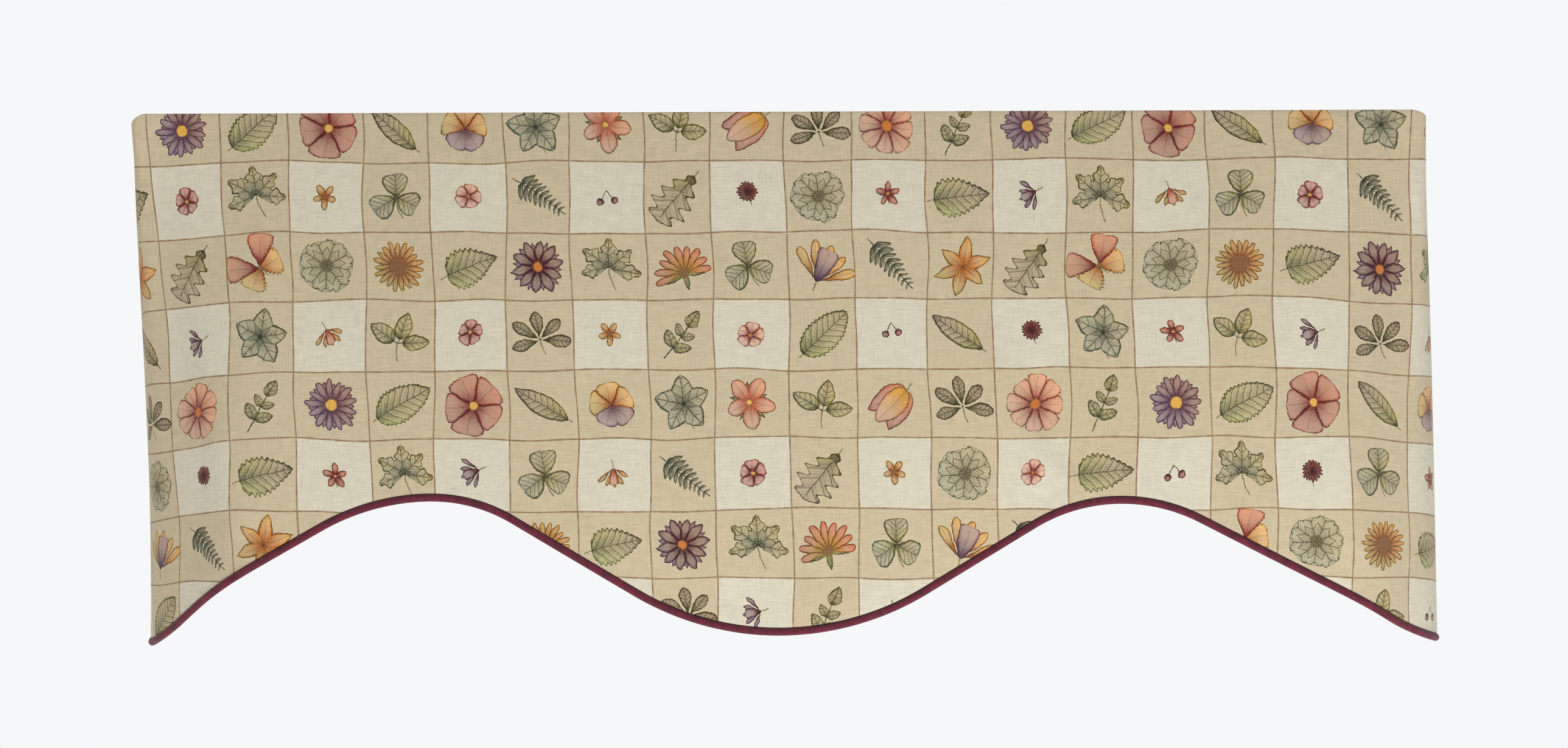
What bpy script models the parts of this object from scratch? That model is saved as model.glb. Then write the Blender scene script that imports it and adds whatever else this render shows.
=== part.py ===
"""Shaped window valance: one printed cotton cloth hung flat, its two sides returned to the wall,
with a covered welt cord sewn along its wavy hem.

Frame: X runs along the width, the front faces -Y, the wall lies towards +Y and Z is up. The origin
is the middle of the front's top edge. Lengths are metres and angles are degrees.

Every point of the cloth is named by its place on the flat cut: a station, the distance along the
width from the middle (left is negative), and a level, 0 at the top edge and 1 at the hem.
"""

import bpy
import numpy as np

# The flat cut
CUT_WIDTH = 1.256            # from one return's rear edge to the other's
FRONT_WIDTH = 1.050          # between the two corner folds at the top edge
HALF_CUT = CUT_WIDTH / 2
FOLD = FRONT_WIDTH / 2

# The layers of the cloth
CLOTH = 0.0014               # one layer
TURNED = 0.0010              # a second layer, pressed flat where an edge is turned to the back
TOP_TURN = 0.032             # depth of the turned top edge
SIDE_TURN = 0.018            # depth of the turned rear edges of the returns
HEM_TURN = 0.014             # depth of the allowance turned up behind the hem
STEP = 0.0015                # width over which a turned layer ends
TOP_ROLL = 0.0008            # height of the rounded fold along the top edge

# The welt cord
CORD_RADIUS = 0.0030
CORD_SIDES = 11              # flats round the cord, apart from its flange
FLANGE = 0.0010              # thickness of the flange
FLANGE_RISE = 0.012          # height of the flange behind the hem
SEAM_GAP = 0.0003            # between the cord and the cloth's edge
FLANGE_GAP = 0.0006          # between the flange and the back of the cloth, which curve differently

# The hem's wave on each side: a low belly in the middle, a crest, then the low corner, past which
# the hem rises again along the return
BELLY_DROP = 0.4200
BELLY_RADIUS = 0.224
HEM = {
    "left": {"crest_at": 0.281, "crest_drop": 0.3111, "inner_radius": 0.132, "outer_radius": 0.182,
             "corner_at": 0.560, "corner_drop": 0.4252, "corner_radius": 0.120},
    "right": {"crest_at": 0.275, "crest_drop": 0.3149, "inner_radius": 0.138, "outer_radius": 0.146,
              "corner_at": 0.562, "corner_drop": 0.4253, "corner_radius": 0.150},
}

# How the cloth turns back at the corners: a tight fold at the top, soft bends at the hem.
# A bend starts at a station, spreads over a length of cloth and turns it by an angle.
BENDS = {
    "left": [
        {"level": "top", "start": FOLD - 0.008, "spread": 0.016, "turn": 90.0},
        {"level": "hem", "start": 0.405, "spread": 0.080, "turn": 42.0},
        {"level": "hem", "start": 0.485, "spread": 0.100, "turn": 42.0},
        {"level": "hem", "start": 0.565, "spread": 0.060, "turn": 22.0},
    ],
    "right": [
        {"level": "top", "start": FOLD - 0.006, "spread": 0.014, "turn": 90.0},
        {"level": "hem", "start": 0.440, "spread": 0.070, "turn": 34.0},
        {"level": "hem", "start": 0.505, "spread": 0.080, "turn": 52.0},
        {"level": "hem", "start": 0.565, "spread": 0.060, "turn": 18.0},
    ],
}

LOOSENING = 2.1              # how soon below the top edge the tight folds give way to the soft bends
LEAN = 0.012                 # how far the hem stands forward of the top edge

# How far the corners hang below the straight run: the top edge dips over the fold, and the cloth
# between the top and the hem sags a little beside it.
CORNER_DIP = {"left": 0.0076, "right": 0.0046}
CORNER_SAG = {"left": 0.0065, "right": 0.0045}
DIP_SPREAD = 0.018
SAG_SPREAD = 0.110

# Soft swells of the front, deepest at the hem: a positive depth stands forward
SWELLS = [
    {"centre": -0.440, "width": 0.150, "depth": 0.0030},
    {"centre": -0.335, "width": 0.120, "depth": -0.0022},
    {"centre": -0.205, "width": 0.170, "depth": 0.0026},
    {"centre": -0.075, "width": 0.140, "depth": -0.0016},
    {"centre": 0.050, "width": 0.160, "depth": 0.0030},
    {"centre": 0.190, "width": 0.150, "depth": -0.0024},
    {"centre": 0.295, "width": 0.110, "depth": 0.0022},
    {"centre": 0.405, "width": 0.150, "depth": -0.0020},
]

# How finely the cloth is divided: the longest step in each run of stations, and the levels' count
RUNS = [
    {"to": 0.4200, "step": 0.0176},
    {"to": FOLD - 0.012, "step": 0.0096},
    {"to": FOLD + 0.012, "step": 0.0036},
    {"to": HALF_CUT - SIDE_TURN - STEP, "step": 0.0115},
    {"to": HALF_CUT - SIDE_TURN, "step": STEP},
    {"to": HALF_CUT, "step": 0.0095},
]
BODY_LEVELS = 11             # rows between the turned top and the hem's allowance
BEND_SAMPLES = 240           # steps along which a bend is summed
PROBE = 0.0004               # step on the cut by which slopes are measured

CLOTH_COLOUR = (0.60, 0.50, 0.37, 1.0)
CORD_COLOUR = (0.16, 0.012, 0.040, 1.0)


def ease(x):
    """0 to 1 along x, level at both ends."""
    x = np.clip(x, 0.0, 1.0)
    return x * x * (3.0 - 2.0 * x)


def side_value(station, values):
    """The left side's value where the station is negative, and the right side's elsewhere."""
    return np.where(station < 0.0, values["left"], values["right"])


def wave(along, low, crest):
    """Drop of a curve that leaves a low arc, runs straight and joins a crest arc, both tangent to it.

    low and crest are (place, drop, radius), and along lies between the two places.
    """
    low_at, low_drop, low_radius = low
    crest_at, crest_drop, crest_radius = crest
    span = abs(crest_at - low_at)
    out = np.abs(along - low_at)
    radii = low_radius + crest_radius
    rise = (crest_drop + crest_radius) - (low_drop - low_radius)
    slope = np.arcsin(radii / np.hypot(span, rise)) - np.arctan2(rise, span)
    low_end = low_radius * np.sin(slope)
    crest_start = span - crest_radius * np.sin(slope)
    low_arc = low_drop - low_radius + np.sqrt(np.maximum(low_radius**2 - out**2, 0.0))
    crest_arc = crest_drop + crest_radius - np.sqrt(np.maximum(crest_radius**2 - (span - out) ** 2, 0.0))
    straight = low_drop - low_radius * (1.0 - np.cos(slope)) - (out - low_end) * np.tan(slope)
    return np.where(out < low_end, low_arc, np.where(out > crest_start, crest_arc, straight))


def side_drop(out, row):
    """Drop of the hem at a distance out from the middle, on the side that the row describes."""
    crest = (row["crest_at"], row["crest_drop"])
    belly = (0.0, BELLY_DROP, BELLY_RADIUS)
    corner = (row["corner_at"], row["corner_drop"], row["corner_radius"])
    inner = wave(out, belly, crest + (row["inner_radius"],))
    outer = wave(out, corner, crest + (row["outer_radius"],))
    past = np.clip(out - row["corner_at"], 0.0, row["corner_radius"])
    rising = row["corner_drop"] - row["corner_radius"] + np.sqrt(row["corner_radius"] ** 2 - past**2)
    front = np.where(out < row["crest_at"], inner, outer)
    return np.where(past > 0.0, rising, front)


def hem_drop(station):
    """Drop of the hem's cut edge below the top edge."""
    out = np.abs(station)
    return np.where(station < 0.0, side_drop(out, HEM["left"]), side_drop(out, HEM["right"]))


def top_drop(station):
    """Drop of the top edge, which dips over the two corner folds."""
    dip = side_value(station, CORNER_DIP)
    return dip * ease((np.abs(station) - FOLD) / DIP_SPREAD + 0.5)


def turn_at(station, level):
    """Angle in radians by which the cloth has turned back from the front plane."""
    loosening = 1.0 - np.clip(1.0 - level, 0.0, 1.0) ** LOOSENING
    out = np.abs(station)
    total = np.zeros(np.broadcast(station, level).shape)
    for side, rows in BENDS.items():
        here = (station < 0.0) == (side == "left")
        for row in rows:
            share = loosening if row["level"] == "hem" else 1.0 - loosening
            turned = np.radians(row["turn"]) * ease((out - row["start"]) / row["spread"])
            total = total + here * share * turned
    return total


def swell(station, level):
    """How far the front stands forward of its plane."""
    total = np.zeros(np.broadcast(station, level).shape)
    for row in SWELLS:
        across = np.clip((station - row["centre"]) / (0.5 * row["width"]), -1.0, 1.0)
        total = total + row["depth"] * np.cos(0.5 * np.pi * across) ** 2
    return total * level**1.5


def hang(station, level):
    """Where a point of the cut hangs, on the middle of the doubled edge.

    The cloth keeps its length along the width: x is the sum of the cosine of the turn and y the sum
    of its sine from the middle out, less the swells and the lean. z falls evenly to the hem.
    """
    station, level = np.broadcast_arrays(np.asarray(station, float), np.asarray(level, float))
    share = ((np.arange(BEND_SAMPLES) + 0.5) / BEND_SAMPLES).reshape((-1,) + (1,) * station.ndim)
    turn = turn_at(share * station, level[None])
    x = station * np.cos(turn).mean(axis=0)
    y = np.abs(station) * np.sin(turn).mean(axis=0) - swell(station, level) - LEAN * level
    top = top_drop(station)
    sag = side_value(station, CORNER_SAG) * ease((np.abs(station) - FOLD + SAG_SPREAD) / SAG_SPREAD)
    z = -(top + level * (hem_drop(station) - top)) - sag * np.sin(np.pi * level)
    return np.stack([x, y, z], axis=-1)


def level_of(station, down):
    """Level of the point that lies a distance down the cut from the top edge."""
    top = top_drop(station)
    return (down - top) / (hem_drop(station) - top)


def inward(station, down):
    """Unit normal of the cloth towards its back, from its slopes along and down the cut."""
    along = (hang(station + PROBE, level_of(station + PROBE, down))
             - hang(station - PROBE, level_of(station - PROBE, down)))
    fall = hang(station, level_of(station, down + PROBE)) - hang(station, level_of(station, down - PROBE))
    normal = np.cross(along, fall)
    return normal / np.linalg.norm(normal, axis=-1, keepdims=True)


def face_offset():
    """Distance from the middle of a doubled edge to the printed face, towards the back."""
    return -0.5 * (CLOTH + TURNED)


def through(station, down, depth):
    """A point at a depth behind the printed face."""
    middle = hang(station, level_of(station, down))
    return middle + (face_offset() + depth)[..., None] * inward(station, down)


def cut_stations():
    """Stations from the left rear edge to the right one, close together where the cloth turns."""
    half = [0.0]
    for run in RUNS:
        steps = max(1, round((run["to"] - half[-1]) / run["step"]))
        half += list(np.linspace(half[-1], run["to"], steps + 1)[1:])
    return np.array([-s for s in half[:0:-1]] + half)


def cut_rows(stations):
    """Distance down the cut of every row at every station: turned top, body, turned hem."""
    top, hem = top_drop(stations), hem_drop(stations)
    body_top = top + TOP_TURN + STEP
    body_foot = hem - HEM_TURN - STEP
    rows = [top + TOP_ROLL, 0.5 * (top + TOP_ROLL + body_top - STEP), body_top - STEP]
    rows += [body_top + share * (body_foot - body_top) for share in np.linspace(0.0, 1.0, BODY_LEVELS)]
    rows += [body_foot + STEP, hem]
    return np.array(rows)


def layers(stations, down):
    """Thickness of the cloth: two layers where the top, the hem or a rear edge is turned."""
    doubled = (
        (down < top_drop(stations) + TOP_TURN + 0.5 * STEP)
        | (down > hem_drop(stations) - HEM_TURN - 0.5 * STEP)
        | (np.abs(stations) > HALF_CUT - SIDE_TURN - 0.5 * STEP)
    )
    return CLOTH + TURNED * doubled


def quads(first, second):
    """Faces between two equally long lists of point numbers."""
    return [
        (first[i], first[i + 1], second[i + 1], second[i])
        for i in range(len(first) - 1)
    ]


def make_object(name, points, faces, colour, roughness):
    """An object of one closed body with its own material."""
    mesh = bpy.data.meshes.new(name)
    mesh.from_pydata([tuple(p) for p in points], [], faces)
    mesh.update()
    material = bpy.data.materials.new(name)
    material.use_nodes = True
    shader = material.node_tree.nodes["Principled BSDF"]
    shader.inputs["Base Color"].default_value = colour
    shader.inputs["Roughness"].default_value = roughness
    shader.inputs["Metallic"].default_value = 0.0
    mesh.materials.append(material)
    mesh.shade_smooth()
    mesh.set_sharp_from_angle(angle=np.radians(50.0))
    thing = bpy.data.objects.new(name, mesh)
    bpy.context.scene.collection.objects.link(thing)
    return thing


def make_cloth():
    """The printed cloth: a face and a back of the same rows and stations, joined round the edge."""
    stations = cut_stations()
    down = cut_rows(stations)
    across = np.broadcast_to(stations, down.shape)
    face = through(across, down, np.zeros(down.shape))
    back = through(across, down, layers(across, down))
    fold = hang(stations, np.zeros(stations.shape))
    rows, columns = down.shape
    face_at = np.arange(rows * columns).reshape(rows, columns)
    back_at = face_at + rows * columns
    fold_at = np.arange(columns) + 2 * rows * columns
    faces = []
    for row in range(rows - 1):
        faces += quads(face_at[row + 1], face_at[row])
        faces += quads(back_at[row], back_at[row + 1])
    faces += quads(face_at[0], fold_at)
    faces += quads(fold_at, back_at[0])
    faces += quads(back_at[-1], face_at[-1])
    faces += quads(back_at[:, 0], face_at[:, 0])
    faces += quads(face_at[:, -1], back_at[:, -1])
    faces.append((fold_at[0], back_at[0, 0], face_at[0, 0]))
    faces.append((fold_at[-1], face_at[0, -1], back_at[0, -1]))
    points = np.concatenate([face.reshape(-1, 3), back.reshape(-1, 3), fold])
    faces = [tuple(int(i) for i in f) for f in faces]
    return make_object("valance_cloth", points, faces, CLOTH_COLOUR, 0.85)


def make_piping():
    """The welt cord: a round section under the hem's edge, with a flat flange rising behind the cloth."""
    stations = cut_stations()
    hem = hem_drop(stations)
    slope = np.arctan((hem_drop(stations + PROBE) - hem_drop(stations - PROBE)) / (2 * PROBE))
    slope[[0, -1]] = 0.0
    edge = hang(stations, np.ones(stations.shape))
    normal = inward(stations, hem - PROBE)
    run = np.gradient(edge, axis=0)
    up = np.cross(run, normal)
    up /= np.linalg.norm(up, axis=-1, keepdims=True)
    flange_front = CLOTH + TURNED + FLANGE_GAP
    front_angle = np.arcsin((flange_front + face_offset()) / CORD_RADIUS)
    back_angle = np.arcsin((flange_front + FLANGE + face_offset()) / CORD_RADIUS)
    rings = []
    for angle in np.linspace(back_angle, front_angle + 2 * np.pi, CORD_SIDES + 1):
        out = CORD_RADIUS * np.sin(angle)
        rise = CORD_RADIUS * (np.cos(angle) - 1.0) - SEAM_GAP
        rings.append(edge + out * normal + rise * up)
    inner_station = np.clip(stations + FLANGE_RISE * np.sin(slope), -HALF_CUT, HALF_CUT)
    inner_down = hem_drop(stations) - FLANGE_RISE * np.cos(slope)
    for depth in (flange_front, flange_front + FLANGE):
        rings.append(through(inner_station, inner_down, np.full(stations.shape, depth)))
    count, columns = len(rings), len(stations)
    at = np.arange(count * columns).reshape(count, columns)
    faces = []
    for ring in range(count):
        faces += quads(at[ring], at[(ring + 1) % count])
    cord, flange = list(range(count - 2)), [count - 3, count - 2, count - 1, 0]
    for column, turn in ((0, 1), (columns - 1, -1)):
        faces.append(tuple(at[i, column] for i in cord[::turn]))
        faces.append(tuple(at[i, column] for i in flange[::turn]))
    faces = [tuple(int(i) for i in f) for f in faces]
    return make_object("hem_piping", np.concatenate(rings), faces, CORD_COLOUR, 0.70)


for old in list(bpy.data.objects):
    bpy.data.objects.remove(old, do_unlink=True)
make_cloth()
make_piping()
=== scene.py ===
"""Looks of the shaped window valance: its printed cloth with the edges turned to the back, the
covered welt cord along the hem, and the stitches that hold them.

Frame: X runs along the width, the front faces -Y, the wall lies towards +Y and Z is up. The origin
is the middle of the front's top edge. Lengths are metres unless a name ends in _mm.

Every point of the cloth is named by its place on the flat cut: a station, the distance along the
width from the middle (left is negative), and a distance down from the top edge. The print lies on
the cut, so its UV map holds those two distances.
"""

import bmesh
import bpy
import numpy as np
from mathutils import Matrix, Vector


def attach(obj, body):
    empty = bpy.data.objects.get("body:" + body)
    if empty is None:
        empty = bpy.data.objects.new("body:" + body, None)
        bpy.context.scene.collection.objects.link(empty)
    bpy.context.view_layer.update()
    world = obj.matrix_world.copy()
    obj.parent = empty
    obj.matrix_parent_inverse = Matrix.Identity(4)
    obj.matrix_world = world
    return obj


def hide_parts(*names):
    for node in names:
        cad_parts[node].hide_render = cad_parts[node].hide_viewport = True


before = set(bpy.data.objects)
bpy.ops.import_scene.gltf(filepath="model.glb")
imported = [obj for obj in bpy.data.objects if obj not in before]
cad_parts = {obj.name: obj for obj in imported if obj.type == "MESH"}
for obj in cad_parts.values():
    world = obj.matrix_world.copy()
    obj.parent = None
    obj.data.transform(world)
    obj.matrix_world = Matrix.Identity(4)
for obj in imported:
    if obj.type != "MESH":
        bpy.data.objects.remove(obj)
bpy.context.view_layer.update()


def table(columns, rows):
    """One row of named values for each row of plain ones, with the names written in one string."""
    return [dict(zip(columns.split(), row)) for row in rows]


# ---------------------------------------------------------------- the cut and how it hangs
# These sizes are the solids' own

CUT_WIDTH = 1.256            # from one return's rear edge to the other's
FRONT_WIDTH = 1.050          # between the two corner folds at the top edge
HALF_CUT = CUT_WIDTH / 2
FOLD = FRONT_WIDTH / 2
STRAIGHT = 0.400             # the front is flat, apart from its swells, up to this station

CLOTH = 0.0014               # one layer
TURNED = 0.0010              # a second layer, pressed flat where an edge is turned to the back
DOUBLED = CLOTH + TURNED
TOP_TURN = 0.032             # depth of the turned top edge
SIDE_TURN = 0.018            # depth of the turned rear edges of the returns
HEM_TURN = 0.014             # depth of the allowance turned up behind the hem
STEP = 0.0015                # width over which a turned layer ends
EDGE_ROLL = 0.0008           # height of the rounded fold along an edge

CORD_RADIUS = 0.0030
FLANGE = 0.0010              # thickness of the cord's flange
FLANGE_RISE = 0.012          # height of the flange behind the hem
SEAM_GAP = 0.0003            # between the cord and the cloth's edge
FLANGE_GAP = 0.0006          # between the flange and the back of the cloth
# Folds of the cord's bias cover: their spacing, their slant round it in radians to a radian, how far
# they reach from the seam in radians, and how deep they are as a share of the radius
PUCKER = {"every": 0.0042, "slant": 1.7, "reach": 1.1, "depth": 0.020}
# Slow waves along the cord: the height of each, its length for a radian, and where it starts
PUCKER_DRIFT = [(0.9, 0.031, 0.0)]                              # radians of the folds
GIRTH_DRIFT = [(0.010, 0.023, 0.6), (0.006, 0.061, 2.0)]        # shares of the radius
FLANGE_RAGGED = [(0.00025, 0.0075, 0.0), (0.00030, 0.029, 1.0)]

BELLY_DROP = 0.4200
BELLY_RADIUS = 0.224
HEM = {
    "left": {"crest_at": 0.281, "crest_drop": 0.3111, "inner_radius": 0.132, "outer_radius": 0.182,
             "corner_at": 0.560, "corner_drop": 0.4252, "corner_radius": 0.120},
    "right": {"crest_at": 0.275, "crest_drop": 0.3149, "inner_radius": 0.138, "outer_radius": 0.146,
              "corner_at": 0.562, "corner_drop": 0.4253, "corner_radius": 0.150},
}

# A bend starts at a station, spreads over a length of cloth and turns it by an angle in degrees
BENDS = {
    "left": table("level start spread turn", [
        ("top", FOLD - 0.008, 0.016, 90.0),
        ("hem", 0.405, 0.080, 42.0),
        ("hem", 0.485, 0.100, 42.0),
        ("hem", 0.565, 0.060, 22.0),
    ]),
    "right": table("level start spread turn", [
        ("top", FOLD - 0.006, 0.014, 90.0),
        ("hem", 0.440, 0.070, 34.0),
        ("hem", 0.505, 0.080, 52.0),
        ("hem", 0.565, 0.060, 18.0),
    ]),
}
LOOSENING = 2.1              # how soon below the top edge the tight folds give way to the soft bends
LEAN = 0.012                 # how far the hem stands forward of the top edge
CORNER_DIP = {"left": 0.0076, "right": 0.0046}    # how much lower the top edge lies on the returns
CORNER_SAG = {"left": 0.0065, "right": 0.0045}    # how far the cloth sags at half its drop there
DIP_SPREAD = 0.018           # width over which the dip sets in, across the corner fold
SAG_SPREAD = 0.110           # width over which the sag sets in, inside the corner fold

# Soft swells of the front, deepest at the hem: a positive depth stands forward
SWELLS = table("centre width depth", [
    (-0.440, 0.150, 0.0030),
    (-0.335, 0.120, -0.0022),
    (-0.205, 0.170, 0.0026),
    (-0.075, 0.140, -0.0016),
    (0.050, 0.160, 0.0030),
    (0.190, 0.150, -0.0024),
    (0.295, 0.110, 0.0022),
    (0.405, 0.150, -0.0020),
])
SWELL_GROWTH = 1.5           # power of the level by which a swell deepens towards the hem

# Creases that only the looks have: each runs from one place on the cut to another, and a positive
# depth is a ridge towards the room
CREASES = table("from to width depth", [
    ((-0.510, 0.050), (-0.468, 0.375), 0.040, -0.0033),
    ((-0.488, 0.120), (-0.440, 0.330), 0.034, 0.0018),
    ((-0.345, 0.170), (-0.300, 0.300), 0.036, 0.0018),
    ((-0.150, 0.230), (-0.172, 0.350), 0.030, -0.0016),
    ((-0.060, 0.290), (-0.036, 0.410), 0.028, 0.0019),
    ((0.070, 0.260), (0.052, 0.400), 0.030, -0.0016),
    ((0.180, 0.215), (0.226, 0.345), 0.026, 0.0030),
    ((0.214, 0.235), (0.252, 0.330), 0.022, -0.0023),
    ((0.345, 0.120), (0.330, 0.290), 0.038, 0.0015),
    ((0.430, 0.150), (0.462, 0.345), 0.034, 0.0021),
    ((0.505, 0.040), (0.490, 0.300), 0.030, -0.0018),
])
CREASE_FADE = 0.35           # share of a crease's length over which it rises from nothing
CREASE_RISE = 0.028          # height above the hem's allowance over which creases rise from nothing

BEND_SAMPLES = 90            # steps along which a bend is summed
PROBE = 0.0004               # step on the cut by which slopes are measured

# ---------------------------------------------------------------- fineness of the scene's meshes

STATION_STEP = 0.0036
DOWN_STEPS = 104             # rows between the edges' folds
FOLD_ROWS = 4                # rows that round a folded edge
TOP_ROWS = 9                 # rows of the turned top edge
HEM_ROWS = 5                 # rows of the allowance behind the hem
SIDE_ROWS = 6                # columns of a turned rear edge
CORD_STEP = 0.0020
CORD_SIDES = 22
STITCH_RINGS = 5
SEAM_SAMPLES = 4001          # places at which the hem is read to space its stitches
CUT_SAMPLES = 2001           # places at which it is read along the whole cut

# Stitches
THREAD_RADIUS = 0.00022
STITCH_BLUNT = 0.06          # share of a stitch at which its ends are cut off
STITCH_RISE = 1.6            # how far its middle rises above its ends, in radii
STITCH_DIP = 0.4             # how deep its ends lie in the cloth, in radii
STITCH_INSET = 0.0022        # from the end of a turned layer
BLIND_STITCH = {"pitch": 0.0110, "length": 0.0036}
MACHINE_STITCH = {"pitch": 0.0031, "length": 0.0026}
STITCH_SLANT = (0.94, 0.34)  # share of a blind stitch's length along its seam, and across it
FLANGE_SEAM_HEIGHT = 0.0052  # above the hem


def ease(x):
    """3x² - 2x³ of x held between 0 and 1: it rises from 0 to 1, level at both ends."""
    x = np.clip(x, 0.0, 1.0)
    return x * x * (3.0 - 2.0 * x)


def side_value(station, values):
    """The left side's value where the station is negative, and the right side's elsewhere."""
    return np.where(station < 0.0, values["left"], values["right"])


def wave(along, low, crest):
    """Drop of a curve that leaves a low arc, runs straight and joins a crest arc, both tangent to it.

    low and crest are (place, drop, radius). The straight's slope is the angle whose sine is the sum
    of the radii over the distance between the arcs' centres, less the angle of the line joining them.
    """
    low_at, low_drop, low_radius = low
    crest_at, crest_drop, crest_radius = crest
    span = abs(crest_at - low_at)
    out = np.abs(along - low_at)
    radii = low_radius + crest_radius
    rise = (crest_drop + crest_radius) - (low_drop - low_radius)
    slope = np.arcsin(radii / np.hypot(span, rise)) - np.arctan2(rise, span)
    low_end = low_radius * np.sin(slope)
    crest_start = span - crest_radius * np.sin(slope)
    low_arc = low_drop - low_radius + np.sqrt(np.maximum(low_radius**2 - out**2, 0.0))
    crest_arc = crest_drop + crest_radius - np.sqrt(np.maximum(crest_radius**2 - (span - out) ** 2, 0.0))
    straight = low_drop - low_radius * (1.0 - np.cos(slope)) - (out - low_end) * np.tan(slope)
    return np.where(out < low_end, low_arc, np.where(out > crest_start, crest_arc, straight))


def side_drop(out, row):
    """Drop of the hem at a distance out from the middle: belly, crest, corner, and the rise past it."""
    crest = (row["crest_at"], row["crest_drop"])
    belly = (0.0, BELLY_DROP, BELLY_RADIUS)
    corner = (row["corner_at"], row["corner_drop"], row["corner_radius"])
    inner = wave(out, belly, crest + (row["inner_radius"],))
    outer = wave(out, corner, crest + (row["outer_radius"],))
    past = np.clip(out - row["corner_at"], 0.0, row["corner_radius"])
    rising = row["corner_drop"] - row["corner_radius"] + np.sqrt(row["corner_radius"] ** 2 - past**2)
    front = np.where(out < row["crest_at"], inner, outer)
    return np.where(past > 0.0, rising, front)


def hem_drop(station):
    """Drop of the hem's cut edge below the top edge."""
    out = np.abs(station)
    return np.where(station < 0.0, side_drop(out, HEM["left"]), side_drop(out, HEM["right"]))


def top_drop(station):
    """Drop of the top edge, which dips over the two corner folds."""
    dip = side_value(station, CORNER_DIP)
    return dip * ease((np.abs(station) - FOLD) / DIP_SPREAD + 0.5)


def turn_at(station, level):
    """Angle in radians by which the cloth has turned back: the eased bends passed so far, added up.

    The top's bends count fully at level 0 and the hem's at level 1.
    """
    loosening = 1.0 - np.clip(1.0 - level, 0.0, 1.0) ** LOOSENING
    out = np.abs(station)
    total = np.zeros(np.broadcast(station, level).shape)
    for side, rows in BENDS.items():
        here = (station < 0.0) == (side == "left")
        for row in rows:
            share = loosening if row["level"] == "hem" else 1.0 - loosening
            turned = np.radians(row["turn"]) * ease((out - row["start"]) / row["spread"])
            total = total + here * share * turned
    return total


def swell(station, level):
    """How far the front stands forward: squared cosine humps times a power of the level."""
    total = np.zeros(np.broadcast(station, level).shape)
    for row in SWELLS:
        across = np.clip((station - row["centre"]) / (0.5 * row["width"]), -1.0, 1.0)
        total = total + row["depth"] * np.cos(0.5 * np.pi * across) ** 2
    return total * np.maximum(level, 0.0) ** SWELL_GROWTH


def hang(station, level):
    """Where a point of the cut hangs, on the middle of the doubled edge.

    The cloth keeps its length along the width: past the straight front, x is the sum of the cosine
    of the turn and y the sum of its sine. z falls evenly to the hem, with a sag beside the corners.
    """
    station, level = np.broadcast_arrays(np.asarray(station, float), np.asarray(level, float))
    side = np.where(station < 0.0, -1.0, 1.0)
    out = np.abs(station)
    bent = np.maximum(out - STRAIGHT, 0.0)
    share = ((np.arange(BEND_SAMPLES) + 0.5) / BEND_SAMPLES).reshape((-1,) + (1,) * station.ndim)
    turn = turn_at(side * (STRAIGHT + share * bent), level[None])
    x = side * (np.minimum(out, STRAIGHT) + bent * np.cos(turn).mean(axis=0))
    y = bent * np.sin(turn).mean(axis=0) - swell(station, level) - LEAN * level
    top = top_drop(station)
    sag = side_value(station, CORNER_SAG) * ease((out - FOLD + SAG_SPREAD) / SAG_SPREAD)
    z = -(top + level * (hem_drop(station) - top)) - sag * np.sin(np.pi * level)
    return np.stack([x, y, z], axis=-1)


def level_of(station, down):
    """Level of the point that lies a distance down the cut from the top edge."""
    top = top_drop(station)
    return (down - top) / (hem_drop(station) - top)


def inward(station, down):
    """Unit normal of the cloth towards its back: the cross product of its slopes on the cut."""
    along = (hang(station + PROBE, level_of(station + PROBE, down))
             - hang(station - PROBE, level_of(station - PROBE, down)))
    fall = hang(station, level_of(station, down + PROBE)) - hang(station, level_of(station, down - PROBE))
    normal = np.cross(along, fall)
    return normal / np.linalg.norm(normal, axis=-1, keepdims=True)


def crease(station, down):
    """How far the creases stand towards the room.

    Across a crease the height is a bell, exp(-(2d/width)²) of the distance d from its line. Along it
    the height fades in and out, and it dies away at the top edge and the hem.
    """
    total = np.zeros(station.shape)
    for row in CREASES:
        (start_at, start_down), (end_at, end_down) = row["from"], row["to"]
        run = np.array([end_at - start_at, end_down - start_down])
        length = np.hypot(*run)
        along = ((station - start_at) * run[0] + (down - start_down) * run[1]) / length
        beside = ((station - start_at) * run[1] - (down - start_down) * run[0]) / length
        share = along / length
        fade = ease((share + CREASE_FADE) / CREASE_FADE) * ease((1.0 + CREASE_FADE - share) / CREASE_FADE)
        total += row["depth"] * fade * np.exp(-((2.0 * beside / row["width"]) ** 2))
    to_hem = hem_drop(station) - down
    return total * ease((down - top_drop(station)) / TOP_TURN) * ease((to_hem - HEM_TURN) / CREASE_RISE)


def through(station, down, depth, raised=0.0):
    """A point at a depth behind the printed face, measured along the cloth's normal.

    raised is how far the creases stand there. The cord and the stitches have none under them.
    """
    middle = hang(station, level_of(station, down))
    offset = np.asarray(depth - 0.5 * DOUBLED - raised)
    return middle + offset[..., None] * inward(station, down)


# ---------------------------------------------------------------- meshes


def make_piece(name, points, faces, materials, face_material=None, uv=None, rounded=True):
    """An object of quads from arrays of points and of corner numbers, with its place in its mesh."""
    mesh = bpy.data.meshes.new(name)
    mesh.from_pydata(points.reshape(-1, 3), [], faces.reshape(-1, 4))
    for material in materials:
        mesh.materials.append(material)
    if face_material is not None:
        mesh.polygons.foreach_set("material_index", face_material.astype(np.int32))
    if uv is not None:
        layer = mesh.uv_layers.new(name="UVMap")
        layer.data.foreach_set("uv", uv.astype(np.float32).ravel())
    if rounded:
        mesh.shade_smooth()
    mesh.update()
    piece = bpy.data.objects.new(name, mesh)
    bpy.context.scene.collection.objects.link(piece)
    return piece


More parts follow.
